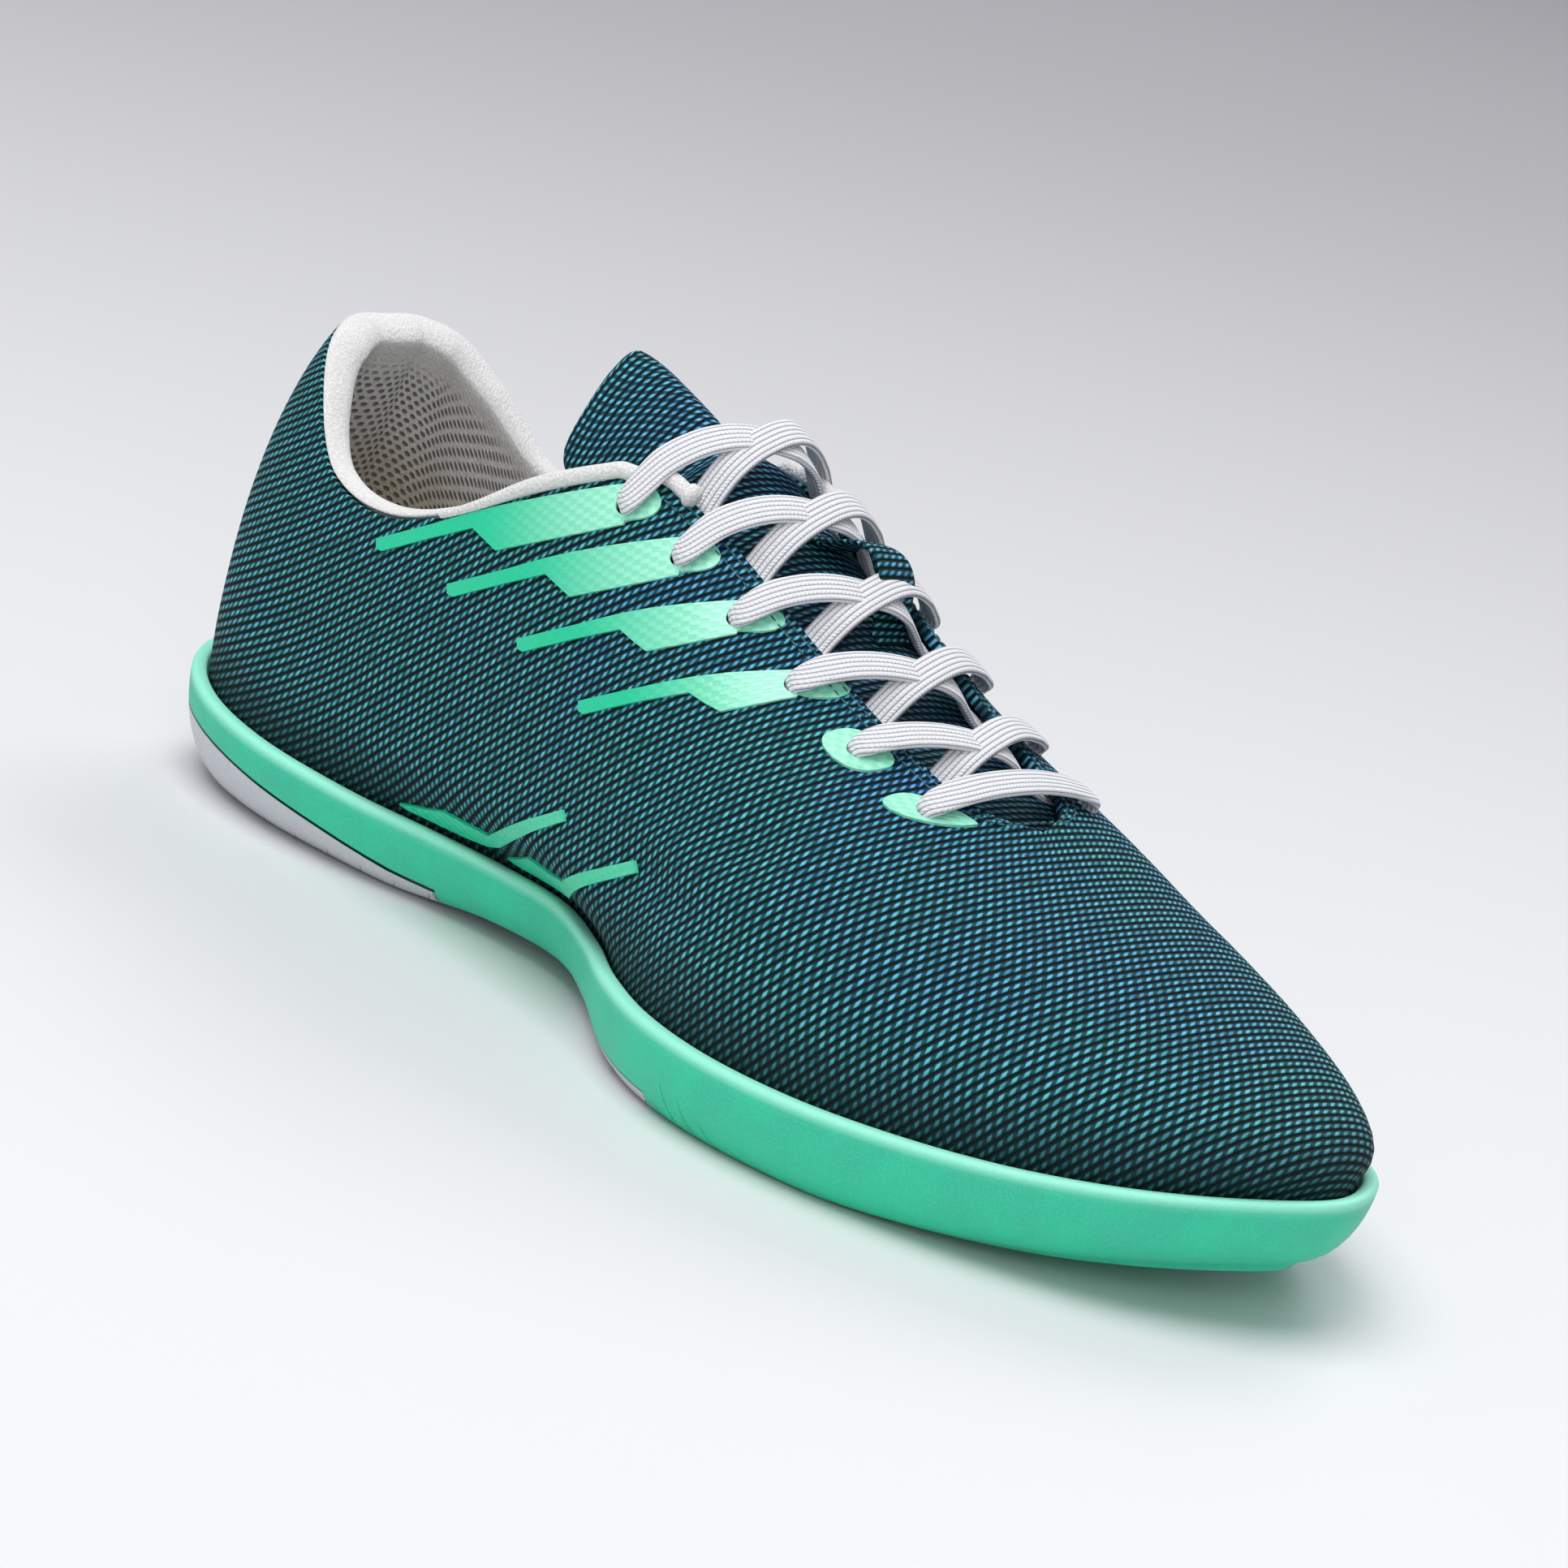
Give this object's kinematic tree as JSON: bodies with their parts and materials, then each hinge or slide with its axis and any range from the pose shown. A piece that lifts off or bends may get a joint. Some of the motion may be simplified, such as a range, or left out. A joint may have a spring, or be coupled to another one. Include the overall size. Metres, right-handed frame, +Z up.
{
  "type": "indoor soccer shoe",
  "caption": "Low-cut right shoe with a woven upper, padded collar, flat laces over a tongue, and a shallow cup sole with a pale ground plate.",
  "frame": {"origin": "on the floor, under the centre of the heel's flat ground patch", "axes": "+X towards the toe, +Y towards the medial side (big toe), +Z up"},
  "size_m": [0.285, 0.1087, 0.1083],
  "materials": {
    "green_rubber": "matte",
    "pale_rubber": "satin",
    "insole_foam": "matte",
    "woven_upper": "matte",
    "white_lining": "matte",
    "woven_lace": "matte",
    "green_film": "satin"
  },
  "bodies": {
    "root": {"ball_inset": "green_rubber", "collar_lining": "white_lining", "cupsole": "green_rubber", "eyelet_film_1": "green_film", "eyelet_film_2": "green_film", "eyelet_film_3": "green_film", "eyelet_film_4": "green_film", "eyelet_ring_5": "green_film", "eyelet_ring_6": "green_film", "ground_plate": "pale_rubber", "heel_inset": "green_rubber", "insole": "insole_foam", "lace_bar": "woven_lace", "lace_crossing_1": "woven_lace", "lace_crossing_2": "woven_lace", "lace_crossing_3": "woven_lace", "lace_crossing_4": "woven_lace", "lace_crossing_5": "woven_lace", "lateral_flash_1": "green_film", "lateral_flash_2": "green_film", "medial_flash_1": "green_film", "medial_flash_2": "green_film", "medial_flash_3": "green_film", "medial_flash_4": "green_film", "tongue": "woven_upper", "upper": "woven_upper"}
  },
  "joints": []
}
